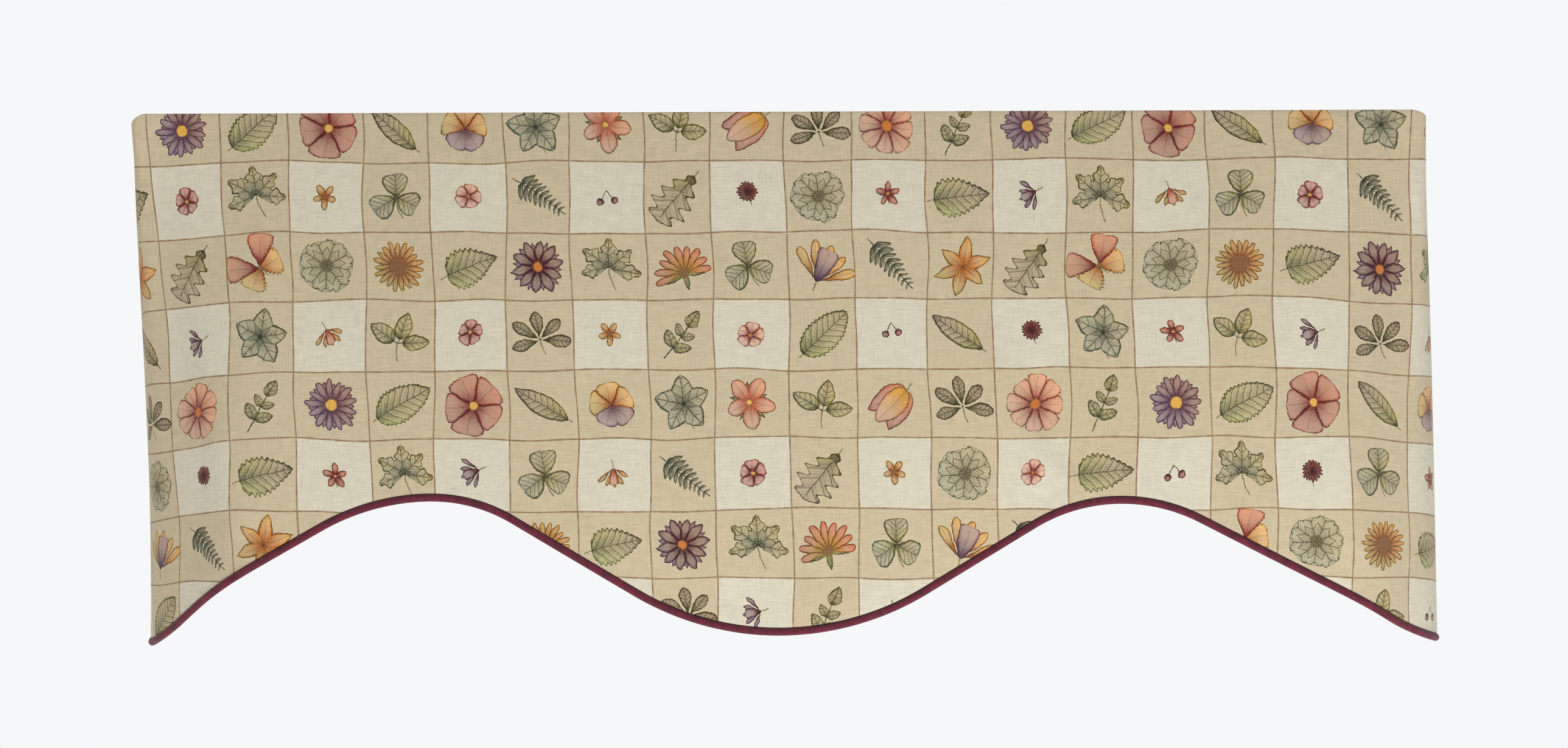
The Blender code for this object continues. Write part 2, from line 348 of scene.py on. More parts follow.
def lattice(numbers):
    """Quads between the neighbours of a grid of point numbers."""
    a, b = numbers[:-1, :-1], numbers[:-1, 1:]
    c, d = numbers[1:, 1:], numbers[1:, :-1]
    return np.stack([a, b, c, d], axis=-1).reshape(-1, 4)


def fold_places():
    """Distances from a folded edge of the rows that round it: a quarter circle in even steps."""
    return EDGE_ROLL * (1.0 - np.cos(np.linspace(0.0, 0.5 * np.pi, FOLD_ROWS)))


def cloth_stations():
    """Stations of the cloth's columns, with the step of the turned rear edges at a column pair."""
    edge = HALF_CUT - fold_places()
    turn = HALF_CUT - SIDE_TURN
    count = round((turn - STEP) / STATION_STEP)
    half = np.concatenate([
        np.linspace(0.0, turn - STEP, count + 1),
        np.linspace(turn, edge[-1], SIDE_ROWS),
        edge[-2::-1],
    ])
    return np.concatenate([-half[:0:-1], half])


def cloth_rows(stations):
    """Distance down the cut of every row at every station, from the top edge to the hem."""
    near = fold_places()[:, None]
    top, hem = top_drop(stations), hem_drop(stations)
    top_turn = top + TOP_TURN
    hem_turn = hem - HEM_TURN
    share = np.linspace(0.0, 1.0, DOWN_STEPS)[:, None]
    turned = np.linspace(0.0, 1.0, TOP_ROWS)[1:, None]
    allowance = np.linspace(0.0, 1.0, HEM_ROWS)[:-1, None]
    return np.concatenate([
        top + near,
        top + EDGE_ROLL + turned * (TOP_TURN - EDGE_ROLL),
        top_turn + STEP + share * (hem_turn - top_turn - 2.0 * STEP),
        hem_turn + allowance * (HEM_TURN - EDGE_ROLL),
        hem - near[::-1],
    ])


def make_cloth(print_finish, reverse_finish):
    """The printed cloth as a closed sheet: a face grid and a back grid that share their rim.

    Near an edge both grids close in on the middle of the thickness along a quarter circle. The back
    lies one layer behind the face, or two where an edge is turned. On a turned edge the print goes
    on round the fold, so its place on the cut is mirrored in the edge.
    """
    stations = cloth_stations()
    down = cloth_rows(stations)
    across = np.broadcast_to(stations, down.shape)
    top, hem = top_drop(across), hem_drop(across)
    to_top, to_hem, to_side = down - top, hem - down, HALF_CUT - np.abs(across)
    nearest = np.minimum(np.minimum(to_top, to_hem), to_side)
    open_share = np.sqrt(1.0 - (1.0 - np.clip(nearest / EDGE_ROLL, 0.0, 1.0)) ** 2)
    in_top = to_top < TOP_TURN + 0.5 * STEP
    in_hem = to_hem < HEM_TURN + 0.5 * STEP
    in_side = to_side < SIDE_TURN + 0.5 * STEP
    thickness = CLOTH + TURNED * (in_top | in_hem | in_side)
    middle = 0.5 * DOUBLED
    depths = np.stack([middle * (1.0 - open_share), middle + (thickness - middle) * open_share])
    face, back = through(across, down, depths, crease(across, down))

    rows, columns = down.shape
    count = rows * columns
    face_at = np.arange(count).reshape(rows, columns)
    back_at = face_at.copy()
    inner = np.s_[1:-1, 1:-1]
    back_at[inner] = count + np.arange((rows - 2) * (columns - 2)).reshape(rows - 2, columns - 2)
    points = np.concatenate([face.reshape(-1, 3), back[inner].reshape(-1, 3)])
    faces = np.concatenate([lattice(face_at)[:, ::-1], lattice(back_at)])

    corner_of = lattice(face_at)
    plain = np.stack([across, down], axis=-1).reshape(-1, 2)[corner_of]
    back_uv = plain
    reverse = np.ones(len(corner_of), bool)
    turns = [
        (to_side, SIDE_TURN, (np.sign(across) * 2.0 * HALF_CUT - across, down)),
        (to_hem, HEM_TURN, (across, 2.0 * hem - down)),
        (to_top, TOP_TURN, (across, 2.0 * top - down)),
    ]
    for to_edge, turn, mirrored in turns:
        turned = to_edge.ravel()[corner_of].mean(axis=1) < turn
        mirrored = np.stack(mirrored, axis=-1).reshape(-1, 2)[corner_of]
        back_uv = np.where(turned[:, None, None], mirrored, back_uv)
        reverse = reverse & ~turned
    uv = np.concatenate([plain[:, ::-1], back_uv])
    face_material = np.concatenate([np.zeros(len(corner_of)), reverse])
    finishes = [print_finish, reverse_finish]
    return make_piece("printed_cotton_cloth", points, faces, finishes, face_material, uv)


def run_along(points):
    """Distance along a line of points at each of them."""
    return np.concatenate([[0.0], np.cumsum(np.linalg.norm(np.diff(points, axis=0), axis=1))])


def ripple(run, waves):
    """Sum of sines of the run, each of a height, a length for a radian, and a start."""
    return sum(height * np.sin(run / length + start) for height, length, start in waves)


def hem_fall(stations):
    """Slope of the hem on the cut, positive where it falls towards the right."""
    return (hem_drop(stations + PROBE) - hem_drop(stations - PROBE)) / (2.0 * PROBE)


def hem_frame(stations):
    """The hem's edge with its unit normal towards the back and its unit upward direction."""
    hem = hem_drop(stations)
    edge = hang(stations, np.ones(stations.shape))
    normal = inward(stations, hem - PROBE)
    up = np.cross(np.gradient(edge, axis=0), normal)
    return edge, normal, up / np.linalg.norm(up, axis=-1, keepdims=True)


def make_cord(finish):
    """The covered welt cord and its flange, one section carried along the hem.

    The round part is a circle whose radius varies by a few hundredths with the folds of the bias
    cover, which run slantwise round it. The flange is the two layers of the cover, risen flat behind
    the cloth and a little uneven at its upper edge.
    """
    count = round(CUT_WIDTH / CORD_STEP)
    stations = np.linspace(-HALF_CUT, HALF_CUT, count + 1)
    hem = hem_drop(stations)
    slope = np.arctan(hem_fall(stations))
    slope[[0, -1]] = 0.0
    edge, normal, up = hem_frame(stations)
    run = run_along(edge)
    front_depth = DOUBLED + FLANGE_GAP
    front_angle = np.arcsin((front_depth - 0.5 * DOUBLED) / CORD_RADIUS)
    back_angle = np.arcsin((front_depth + FLANGE - 0.5 * DOUBLED) / CORD_RADIUS)
    angles = np.linspace(back_angle, front_angle + 2 * np.pi, CORD_SIDES + 1)[:, None]
    from_seam = np.minimum(angles - back_angle, front_angle + 2 * np.pi - angles)
    near_seam = np.exp(-((from_seam / PUCKER["reach"]) ** 2))
    pucker = np.sin(run / PUCKER["every"] + PUCKER["slant"] * angles + ripple(run, PUCKER_DRIFT))
    thinned = ripple(run, GIRTH_DRIFT) + sum(height for height, _, _ in GIRTH_DRIFT)
    radius = CORD_RADIUS * (1.0 - PUCKER["depth"] * near_seam * (1.0 + pucker) - thinned)
    out = (radius * np.sin(angles))[..., None]
    rise = (radius * np.cos(angles) - CORD_RADIUS - SEAM_GAP)[..., None]
    rings = [edge + out * normal + rise * up]
    for share in (0.5, 1.0):
        height = share * (FLANGE_RISE + ripple(run, FLANGE_RAGGED))
        inner_station = np.clip(stations + height * np.sin(slope), -HALF_CUT, HALF_CUT)
        inner_down = hem - height * np.cos(slope)
        for depth in (front_depth, front_depth + FLANGE):
            rings.append(through(inner_station, inner_down, depth)[None])
    rings = np.concatenate(rings)
    round_count = len(angles)
    half_front, half_back, top_front, top_back = range(round_count, round_count + 4)
    order = list(range(round_count)) + [half_front, top_front, top_back, half_back]
    section = rings[order]
    ring_count, columns = section.shape[:2]
    numbers = np.arange(ring_count * columns).reshape(ring_count, columns)
    closed = np.concatenate([numbers, numbers[:1]])
    faces = lattice(closed)
    girth = run_along(np.concatenate([section[:, 0], section[:1, 0]]))
    place = np.stack(np.broadcast_arrays(run[None, :], girth[:, None]), axis=-1)
    uv = place.reshape(-1, 2)[lattice(np.arange(closed.size).reshape(closed.shape))]
    piece = make_piece("welt_cord_cover", section, faces, [finish], uv=uv)
    close_ends(piece, ring_count, columns, round_count)
    return piece


def close_ends(piece, ring_count, columns, round_count):
    """Closes both ends of the cord's section: the round part as one face, the flange as quads."""
    body = bmesh.new()
    body.from_mesh(piece.data)
    body.verts.ensure_lookup_table()
    last = round_count - 1
    for column in (0, columns - 1):
        ring = [body.verts[i * columns + column] for i in range(ring_count)]
        body.faces.new(ring[:round_count])
        body.faces.new([ring[last], ring[last + 1], ring[-1], ring[0]])
        body.faces.new([ring[last + 1], ring[last + 2], ring[last + 3], ring[last + 4]])
    bmesh.ops.recalc_face_normals(body, faces=body.faces)
    body.to_mesh(piece.data)
    body.free()


def top_seam():
    """Places and slant of the blind stitches that hold the turned top edge, one row of them."""
    count = round((CUT_WIDTH - 2.0 * SIDE_TURN) / BLIND_STITCH["pitch"])
    stations = np.linspace(-1.0, 1.0, count) * (HALF_CUT - SIDE_TURN)
    downs = top_drop(stations) + TOP_TURN - STITCH_INSET
    return stations, downs, np.broadcast_to(STITCH_SLANT, (count, 2))


def side_seams():
    """Places and slant of the blind stitches down the turned rear edges of both returns."""
    rear = HALF_CUT - SIDE_TURN + STITCH_INSET
    drop = float(hem_drop(np.array([rear]))[0]) - HEM_TURN
    pitch = BLIND_STITCH["pitch"]
    count = round((drop - TOP_TURN) / pitch)
    downs = np.linspace(TOP_TURN + pitch, drop - pitch, count)
    stations = np.concatenate([np.full(count, -rear), np.full(count, rear)])
    return stations, np.tile(downs, 2), np.broadcast_to(STITCH_SLANT[::-1], (2 * count, 2))


def flange_seam():
    """Places and direction of the machine stitches along the cord's flange, close above the cord."""
    fine = np.linspace(-HALF_CUT + STITCH_INSET, HALF_CUT - STITCH_INSET, SEAM_SAMPLES)
    run = run_along(np.stack([fine, hem_drop(fine)], axis=-1))
    count = round(run[-1] / MACHINE_STITCH["pitch"])
    stations = np.interp(np.linspace(0.0, run[-1], count), run, fine)
    fall = hem_fall(stations)
    length = np.hypot(1.0, fall)
    direction = np.stack([1.0 / length, fall / length], axis=-1)
    downs = hem_drop(stations) - FLANGE_SEAM_HEIGHT * length
    return stations, downs, direction


def sew(name, finish, seam, depth, length):
    """A row of stitches, each a low six-sided spindle of thread that dips into the cloth at its ends.

    A stitch's axis is the line between the two points half its length either way along the seam. Its
    rings are circles whose radius is the thread's times the root of a half sine, lifted by a sine.
    """
    stations, downs, direction = seam
    share = np.linspace(0.0, 1.0, STITCH_RINGS)
    angles = np.radians(np.arange(6) * 60.0)
    half = 0.5 * length * direction
    first = through(stations - half[:, 0], downs - half[:, 1], depth)
    last = through(stations + half[:, 0], downs + half[:, 1], depth)
    normal = inward(stations, downs)
    axis = last - first
    axis /= np.linalg.norm(axis, axis=-1, keepdims=True)
    beside = np.cross(axis, normal)
    blunted = np.clip(share, STITCH_BLUNT, 1.0 - STITCH_BLUNT)
    girth = (THREAD_RADIUS * np.sqrt(np.sin(np.pi * blunted)))[:, None, None, None]
    lift = (THREAD_RADIUS * (STITCH_RISE * np.sin(np.pi * share) - STITCH_DIP))[:, None, None]
    spine = first + share[:, None, None] * (last - first) + lift * normal
    circle = np.cos(angles)[:, None, None] * normal + np.sin(angles)[:, None, None] * beside
    points = spine[:, None] + girth * circle
    numbers = np.arange(points[..., 0].size).reshape(points.shape[:-1])
    around = np.concatenate([numbers, numbers[:, :1]], axis=1)
    corners = [around[:-1, :-1], around[1:, :-1], around[1:, 1:], around[:-1, 1:]]
    sides = np.stack(corners, axis=-1).reshape(-1, 4)
    ends = []
    for ring in (numbers[0], numbers[-1, ::-1]):
        ends += [np.stack([ring[0], ring[1], ring[2], ring[3]], axis=-1)]
        ends += [np.stack([ring[0], ring[3], ring[4], ring[5]], axis=-1)]
    return make_piece(name, points, np.concatenate([sides] + ends), [finish])


# ---------------------------------------------------------------- arithmetic in a material


class Value:
    """A number or colour on its way through a material. Sums and products of it add math nodes."""

    def __init__(self, socket):
        self.socket = socket
        self.tree = socket.id_data

    def __add__(self, other):
        return work("ADD", self, other)

    def __sub__(self, other):
        return work("SUBTRACT", self, other)

    def __rsub__(self, other):
        return work("SUBTRACT", other, self)

    def __mul__(self, other):
        return work("MULTIPLY", self, other)

    def __truediv__(self, other):
        return work("DIVIDE", self, other)

    def __rtruediv__(self, other):
        return work("DIVIDE", other, self)

    def __pow__(self, other):
        return work("POWER", self, other)

    __radd__ = __add__
    __rmul__ = __mul__


def feed(socket, value):
    """Links a Value to a socket, or sets a constant on it."""
    if isinstance(value, Value):
        value.tree.links.new(value.socket, socket)
    else:
        socket.default_value = value


def new_node(tree, kind, inputs=(), **settings):
    """A node of a kind, with its settings made first and then its inputs fed by name or number."""
    node = tree.nodes.new("ShaderNode" + kind)
    for name, setting in settings.items():
        setattr(node, name, setting)
    for key, value in dict(inputs).items():
        feed(node.inputs[key], value)
    return node


def work(operation, *inputs):
    """One math node."""
    tree = next(value.tree for value in inputs if isinstance(value, Value))
    return Value(new_node(tree, "Math", enumerate(inputs), operation=operation).outputs[0])


def least(a, b):
    """The smaller of two numbers."""
    return work("MINIMUM", a, b)


def most(*values):
    """The greatest of two or more numbers."""
    greatest = values[0]
    for value in values[1:]:
        greatest = work("MAXIMUM", greatest, value)
    return greatest


def size_of(a):
    """The number without its sign."""
    return work("ABSOLUTE", a)


def above(a, b):
    """1 where a is greater than b, and 0 elsewhere."""
    return work("GREATER_THAN", a, b)


def smooth(value, start, end):
    """0 before start and 1 after end, eased between them. With end before start it falls instead."""
    first, last = (1.0, 0.0) if end < start else (0.0, 1.0)
    inputs = {"Value": value, "From Min": min(start, end), "From Max": max(start, end),
              "To Min": first, "To Max": last}
    return Value(new_node(value.tree, "MapRange", inputs, interpolation_type="SMOOTHSTEP").outputs[0])


def choose(flag, when_one, when_zero):
    """when_one where flag is 1, when_zero where it is 0, and the straight blend between."""
    return when_zero + flag * (when_one - when_zero)


def blend(under, over, share):
    """Colour over laid on colour under, as strongly as share says."""
    inputs = {"Factor": share, "A": under, "B": over}
    return Value(new_node(share.tree, "Mix", inputs, data_type="RGBA").outputs["Result"])


def tint(colour, red, green, blue):
    """The colour with each part multiplied by its own number."""
    inputs = (colour, vector(colour.tree, red, green, blue))
    node = new_node(colour.tree, "VectorMath", enumerate(inputs), operation="MULTIPLY")
    return Value(node.outputs["Vector"])


def vector(tree, x, y, z=0.0):
    """A vector or colour of three numbers."""
    return Value(new_node(tree, "CombineXYZ", enumerate((x, y, z))).outputs[0])


def parts(value):
    """The three parts of a vector or colour."""
    return [Value(output) for output in new_node(value.tree, "SeparateXYZ", {0: value}).outputs]


def noise(place, scale, detail=1.0, roughness=0.5):
    """Three soft random numbers round a half, that vary over about 1/scale."""
    inputs = {"Vector": place, "Scale": scale, "Detail": detail, "Roughness": roughness}
    return parts(Value(new_node(place.tree, "TexNoise", inputs, noise_dimensions="2D").outputs["Color"]))


def chance(place):
    """Three random numbers from 0 to 1, the same for equal places."""
    node = new_node(place.tree, "TexWhiteNoise", {"Vector": place}, noise_dimensions="2D")
    return parts(Value(node.outputs["Color"]))


def paint(red, green, blue):
    """The linear colour of three sRGB parts from 0 to 255."""
    share = np.array([red, green, blue]) / 255.0
    linear = np.where(share < 0.04045, share / 12.92, ((share + 0.055) / 1.055) ** 2.4)
    return tuple(linear) + (1.0,)


# ---------------------------------------------------------------- the print

# Squares of the check, in millimetres: each pair of columns is a wide one and a narrow one, and each
# pair of rows a plain tan row and a row whose wide squares are cream
PAIR_ACROSS_MM = 114.6
WIDE_MM = 60.8
FIRST_LINE_MM = -514.5
PAIR_DOWN_MM = 113.2
PLAIN_ROW_MM = 55.2
FIRST_ROW_MM = -14.6
PRINT_DRIFT_MM = 8.0         # how far the check wanders from its even layout
PRINT_LEAN_MM = 16.0         # how far its columns lean to the right in a metre of drop, at the middle
PRINT_FAN_MM = 48.0          # how much more they lean for each metre to the left

TAN = paint(178, 164, 135)
CREAM = paint(189, 183, 163)
LINE = paint(126, 100, 68)
INK = paint(60, 60, 36)
PAINTS = {
    "teal": paint(142, 153, 117), "deep teal": paint(82, 108, 82), "sage": paint(176, 168, 94),
    "olive": paint(132, 126, 56), "moss": paint(92, 87, 40), "brown": paint(118, 82, 50),
    "gold": paint(206, 158, 70), "amber": paint(186, 108, 44), "rose": paint(168, 78, 70),
    "brick": paint(140, 50, 42), "blush": paint(208, 140, 112), "coral": paint(190, 98, 66),
    "plum": paint(104, 60, 78), "lilac": paint(142, 104, 122), "wine": paint(98, 32, 44),
}

# Random numbers over the cloth: their scale to a metre, detail and roughness. The wash is the uneven
# ink, and the hand the shaking of what is drawn.
NOISES = {"drift": (10.0, 1.0), "wash": (120.0, 2.0, 0.6), "hand": (620.0, 1.0, 0.6)}
# How uneven each of these is: its value, and what is added where the wash, the hand or the warmth is 1
UNEVEN = {"ground": (0.93, 0.14), "ground green": (0.985, 0.03), "ground blue": (0.96, 0.08),
          "line": (0.55, 0.7), "colour": (0.74, 0.5), "eye": (0.75, 0.5),
          "warm red": (0.84, 0.32), "warm blue": (1.18, -0.40), "reverse": (0.56, 0.12)}
LINE_WOBBLE_MM = 0.6         # range over which the wash moves the edges of the check's lines
# How fully these cover what lies under them
OPACITY = {"stalk": 0.85, "ink": 0.92, "eye": 0.90, "ring": 0.60}
LINE_TINT = (0.26, 0.21, 0.19)                            # what a drawn line leaves of a colour
LEAF_INK = 0.45              # share of plain ink in a leaf's lines

# Drawn lines: how far from a line's middle its ink ends, and how far out it is full. They are
# millimetres, but shares of their spacing for the strokes of a petal.
PEN = {
    "check": (0.90, 0.30), "outline": (1.35, 0.65), "midrib": (0.60, 0.20), "rib": (0.62, 0.18),
    "hatch": (0.34, 0.06), "stroke": (0.22, 0.04), "leaf stalk": (0.55, 0.20), "stem": (0.60, 0.25),
    "stalk": (0.65, 0.25), "ring": (0.70, 0.25),
}
# What eases in over a range: each is nothing at its first number and full at its second. They are
# millimetres, but shares of a blade's length or half width for those named by its foot or midrib,
# and plain numbers for the last two.
FADES = {
    "fill": (0.0, 0.35), "eye": (0.0, 0.4), "rim": (3.4, 0.3), "near midrib": (0.92, 0.15),
    "strokes by foot": (0.88, 0.20), "shade by foot": (0.8, 0.0), "cover by foot": (0.7, 0.0),
    "tone from foot": (0.05, 0.95), "warmth": (-24.0, 24.0), "cover light": (0.35, 0.85),
    "twist": (0.3, 0.7),
}
# How far the hand's unevenness moves each of these, in the units of its own range
SHAKES = {"outline": 0.7, "stroke": 0.3, "near midrib": 0.8, "strokes by foot": 0.5}
# How dark each mark inside a blade's outline is
MARKS = {"petal midrib": 0.35, "leaf midrib": 0.95, "rib": 0.85, "stroke": 0.72, "hatch": 0.74}
# How much each of these darkens the colour of a blade
SHADES = {"far half": 0.12, "rim": 0.22, "petal foot": 0.20, "leaf foot": 0.54, "pleat": 0.22}
# How fully the colour covers the cloth, and what each place adds to that
COVERS = {"petal": 0.50, "leaf": 0.16, "pleat": 0.20, "rim": 0.42, "foot": 0.46}

BLADE_END = 0.002            # share of a blade's length next to either end where its width is held
MIDRIB_END = 0.92            # share of a blade's length at which its midrib stops
FAR_OUTLINE_MM = 0.5         # how much thicker the outline is on the far half of a leaf
PARTING = 1.7                # the line between two parted blades counts as farther off by this factor
FAR_MM = 100.0               # farther than any edge
RIB_SLANT = 0.8              # how far a side vein runs on along the blade for each millimetre beside it
HATCHES = 4.0                # fine lines to a side vein
STROKES_PER_MM = 0.62
STEM_PAST_MM = 6.0           # length of stem beyond the foot of the last leaflet
STEM_TAPER_MM = 62.0         # length of stem over which leaflets would shrink to nothing
BLADE_UNEVEN = 0.05          # how much the blades of a whorl differ in size
STALK_BEND = 0.016           # bend of a stalk, in millimetres for each square millimetre
GROWTH = 0.07                # how much larger flowers and leaves are drawn than their numbers say
# Range in millimetres over which a drawing is moved by its square's luck, the wash and the hand
WOBBLES_MM = {"luck": 2.4, "wash": 2.2, "hand": 0.8}
TURN_WOBBLE = 16.0           # range in degrees over which a drawing is turned by its square's luck

# A whorl is one or more blades set round a centre or along a stem. Its first five numbers are count,
# reach, half, base and tip: count blades share the full turn, reach is a blade's length and half its
# greatest half width, and base and tip say how bluntly it starts and ends, from 0.1, blunt, to 1.6,
# pointed. The first blade stands at an angle lean, and only those within fan of it are drawn. start
# is the bare stalk under a blade. lobes is how often its edge goes in and out, by the share wavy.
# ribs is the number of side veins. Mirrored blades stand on both sides of the stem, parted ones are
# cut off where they meet, and leaflets stand pitch apart along the stem, raked forward. Lengths are
# millimetres and angles degrees.
UNSAID = {"lean": 0, "start": 0, "fan": 360, "wavy": 0, "lobes": 0, "ribs": 0, "mirrored": 0, "parted": 0,
          "pitch": 4, "leaflets": 0, "rake": 0}
# A number no less than any of its kind, by which each is divided to be kept as a colour
SPANS = {"count": 32, "lean": 360, "reach": 64, "half": 64, "base": 2, "tip": 2, "start": 128, "fan": 512,
         "wavy": 1, "lobes": 32, "ribs": 32, "mirrored": 1, "parted": 1, "pitch": 16, "leaflets": 16,
         "rake": 2}


def whorl(count, reach, half, base, tip, **more):
    """A whorl's numbers.

    half is divided by the greatest value of t^base (1 - t)^tip, which is reached at
    t = base / (base + tip), so that it can be the factor of that power.
    """
    widest = base / (base + tip)
    half /= widest**base * (1.0 - widest) ** tip
    return {"count": count, "reach": reach, "half": half, "base": base, "tip": tip, **UNSAID, **more}


WHORLS = {
    "none": whorl(1, 1, 0, 0.6, 0.6),
    "ray": whorl(13, 20, 3.0, 0.7, 0.45),
    "ray behind": whorl(13, 18, 2.8, 0.7, 0.6, lean=14),
    "fine ray": whorl(19, 19, 2.3, 0.6, 0.35),
    "lily": whorl(6, 23, 5.4, 0.7, 0.95),
    "stamens": whorl(6, 9, 0.7, 0.2, 0.2, lean=30),
    "mallow": whorl(5, 22, 12.5, 0.7, 0.28, lean=18, wavy=0.03, lobes=6, parted=1),
    "tulip petal": whorl(1, 35, 9.5, 0.45, 0.62),
    "tulip sides": whorl(1, 35, 9.5, 0.42, 0.75, lean=19, mirrored=1),
    "fore wings": whorl(1, 25, 10.5, 1.1, 0.2, lean=48, wavy=0.03, lobes=9, mirrored=1),
    "hind wings": whorl(1, 18, 10.0, 0.75, 0.26, lean=112, wavy=0.08, lobes=7, mirrored=1),
    "upper petals": whorl(5, 17, 10.0, 0.55, 0.3, fan=76, parted=1),
    "lower petals": whorl(1, 17, 9.0, 0.6, 0.32, lean=145, mirrored=1),
    "cosmos": whorl(8, 21, 7.2, 0.9, 0.22, wavy=0.05, lobes=9, parted=1),
    "bell": whorl(1, 26, 8.2, 0.55, 0.1),
    "bell mouth": whorl(14, 31, 4.0, 1.6, 0.6, fan=53),
    "star": whorl(5, 20, 6.4, 0.7, 0.55),
    "sepals": whorl(5, 16, 2.6, 0.5, 0.9, lean=36),
    "plume": whorl(15, 22, 3.2, 1.0, 0.4, fan=100),
    "crown": whorl(10, 21, 4.6, 0.7, 0.7, parted=1),
    "crown behind": whorl(10, 20, 3.4, 0.7, 0.9, lean=18),
    "beech": whorl(1, 46, 13.5, 0.55, 0.75, wavy=0.05, lobes=14, ribs=8),
    "willow": whorl(1, 47, 8.2, 0.8, 0.9, ribs=9),
    "oak": whorl(1, 45, 12.0, 0.8, 0.45, wavy=0.34, lobes=4.6, ribs=4.6),
    "elm": whorl(1, 42, 14.5, 0.4, 0.95, wavy=0.08, lobes=11, ribs=7),
    "ivy": whorl(5, 22, 8.6, 0.45, 0.8, ribs=3),
    "maple": whorl(7, 23, 7.0, 0.4, 0.75, fan=110, wavy=0.2, lobes=3.4, ribs=4),
    "clover": whorl(3, 19, 10.0, 0.8, 0.3, ribs=5, parted=1),
    "scalloped": whorl(9, 20, 8.2, 0.3, 0.16, lean=20, ribs=3),
    "trefoil": whorl(5, 21, 6.6, 0.6, 0.8, start=3, fan=76, ribs=5),
    "chestnut": whorl(7, 22, 5, 1.3, 0.7, start=1, fan=110, ribs=7),
    "fern": whorl(1, 14, 2.5, 0.5, 0.7, lean=58, mirrored=1, pitch=4.6, leaflets=9, rake=0.62),
    "rose leaf": whorl(1, 17, 5.2, 0.5, 0.7, lean=52, wavy=0.05, lobes=8, ribs=4, mirrored=1, pitch=11,
                       leaflets=3, rake=0.75),
    "end leaf": whorl(1, 15, 5, 0.5, 0.7, start=31, ribs=4),
    "small bloom": whorl(5, 10.5, 5.6, 0.7, 0.3, parted=1),
    "small star": whorl(5, 10.5, 3.0, 0.7, 0.6),
    "berries": whorl(1, 6.4, 3.2, 0.5, 0.5, lean=34, start=7, mirrored=1),
    "small bell": whorl(1, 13, 4.2, 0.5, 0.12),
    "small mouth": whorl(13, 15.5, 2.0, 1.6, 0.6, fan=57),
    "tuft": whorl(17, 8.5, 1.5, 0.5, 0.4),
    "bud leaves": whorl(1, 9, 1.8, 0.5, 0.8, lean=150, mirrored=1),
}


def motif(front, front_paints, behind="none", behind_paints=("sage", "olive"), eye=0.0, eye_paint="gold",
          stalk=0.0, back=0.0, turn=0):
    """A front whorl over a back whorl, each painted from an inner to an outer colour.

    It has an eye of a radius and colour and a stalk of a length. Its centre is set back from the
    middle of its square, and the whole is turned by an angle.
    """
    return {"front": front, "front paints": front_paints, "behind": behind, "behind paints": behind_paints,
            "eye": eye, "eye paint": eye_paint, "stalk": stalk, "back": back, "turn": turn}


FLOWERS = [
    motif("ray", ("plum", "lilac"), "ray behind", ("plum", "lilac"), eye=4.4, turn=8),
    motif("bell", ("plum", "lilac"), "bell mouth", ("amber", "gold"), stalk=8, back=14, turn=70),
    motif("mallow", ("brick", "rose"), eye=3.2, turn=20),
    motif("lily", ("amber", "gold"), "stamens", ("brown", "brown"), turn=15),
    motif("upper petals", ("amber", "gold"), "lower petals", ("plum", "lilac"), 1.8, "wine", turn=95),
    motif("fore wings", ("brick", "coral"), "hind wings", ("amber", "gold"), 1.8, "brown", stalk=9,
          turn=130),
    motif("star", ("coral", "blush"), "sepals", eye=2.2, turn=60),
    motif("fine ray", ("brick", "gold"), eye=6.0, eye_paint="brown"),
    motif("tulip petal", ("gold", "blush"), "tulip sides", ("blush", "rose"), stalk=6, back=16, turn=215),
    motif("crown", ("wine", "plum"), "crown behind", ("plum", "lilac"), 3.6, "amber", turn=12),
    motif("cosmos", ("rose", "blush"), eye=3.8, eye_paint="amber", turn=33),
    motif("plume", ("gold", "coral"), "sepals", ("sage", "moss"), 4.0, "brown", stalk=10, back=6, turn=110),
]
LEAVES = [
    motif("beech", ("sage", "olive"), stalk=4, back=21, turn=35),
    motif("clover", ("sage", "teal"), stalk=17, turn=95),
    motif("willow", ("sage", "brown"), stalk=3, back=22, turn=140),
    motif("fern", ("deep teal", "teal"), stalk=3, back=22, turn=320),
    motif("ivy", ("deep teal", "teal"), stalk=20, turn=90),
    motif("oak", ("olive", "brown"), stalk=5, back=20, turn=230),
    motif("trefoil", ("sage", "sage"), stalk=14, back=5, turn=75),
    motif("scalloped", ("olive", "teal"), eye=0.9, eye_paint="moss"),
    motif("chestnut", ("olive", "brown"), stalk=12, back=3, turn=100),
    motif("elm", ("sage", "moss"), stalk=6, back=19, turn=15),
    motif("rose leaf", ("sage", "olive"), "end leaf", back=23, turn=60),
    motif("maple", ("deep teal", "sage"), stalk=18, turn=92),
]
SPRIGS = [
    motif("small bloom", ("brick", "rose"), eye=1.6, turn=20),
    motif("berries", ("wine", "brick"), back=6, turn=275),
    motif("small bell", ("wine", "plum"), "small mouth", ("plum", "lilac"), stalk=6, back=6, turn=200),
    motif("small star", ("amber", "gold"), "bud leaves", eye=1.3, eye_paint="brown", turn=50),
    motif("tuft", ("wine", "brick"), "bud leaves", stalk=12, back=-3, turn=90),
    motif("small bell", ("coral", "coral"), "small mouth", ("amber", "gold"), stalk=7, back=6, turn=285),
    motif("small bloom", ("rose", "blush"), eye=1.4, eye_paint="amber", turn=5),
    motif("small star", ("brick", "coral"), eye=1.2, stalk=9, turn=100),
]
MOTIFS = FLOWERS + LEAVES + SPRIGS
WHOLE_FAMILIES = 96.0        # a multiple of every family's length, which keeps the remainders positive
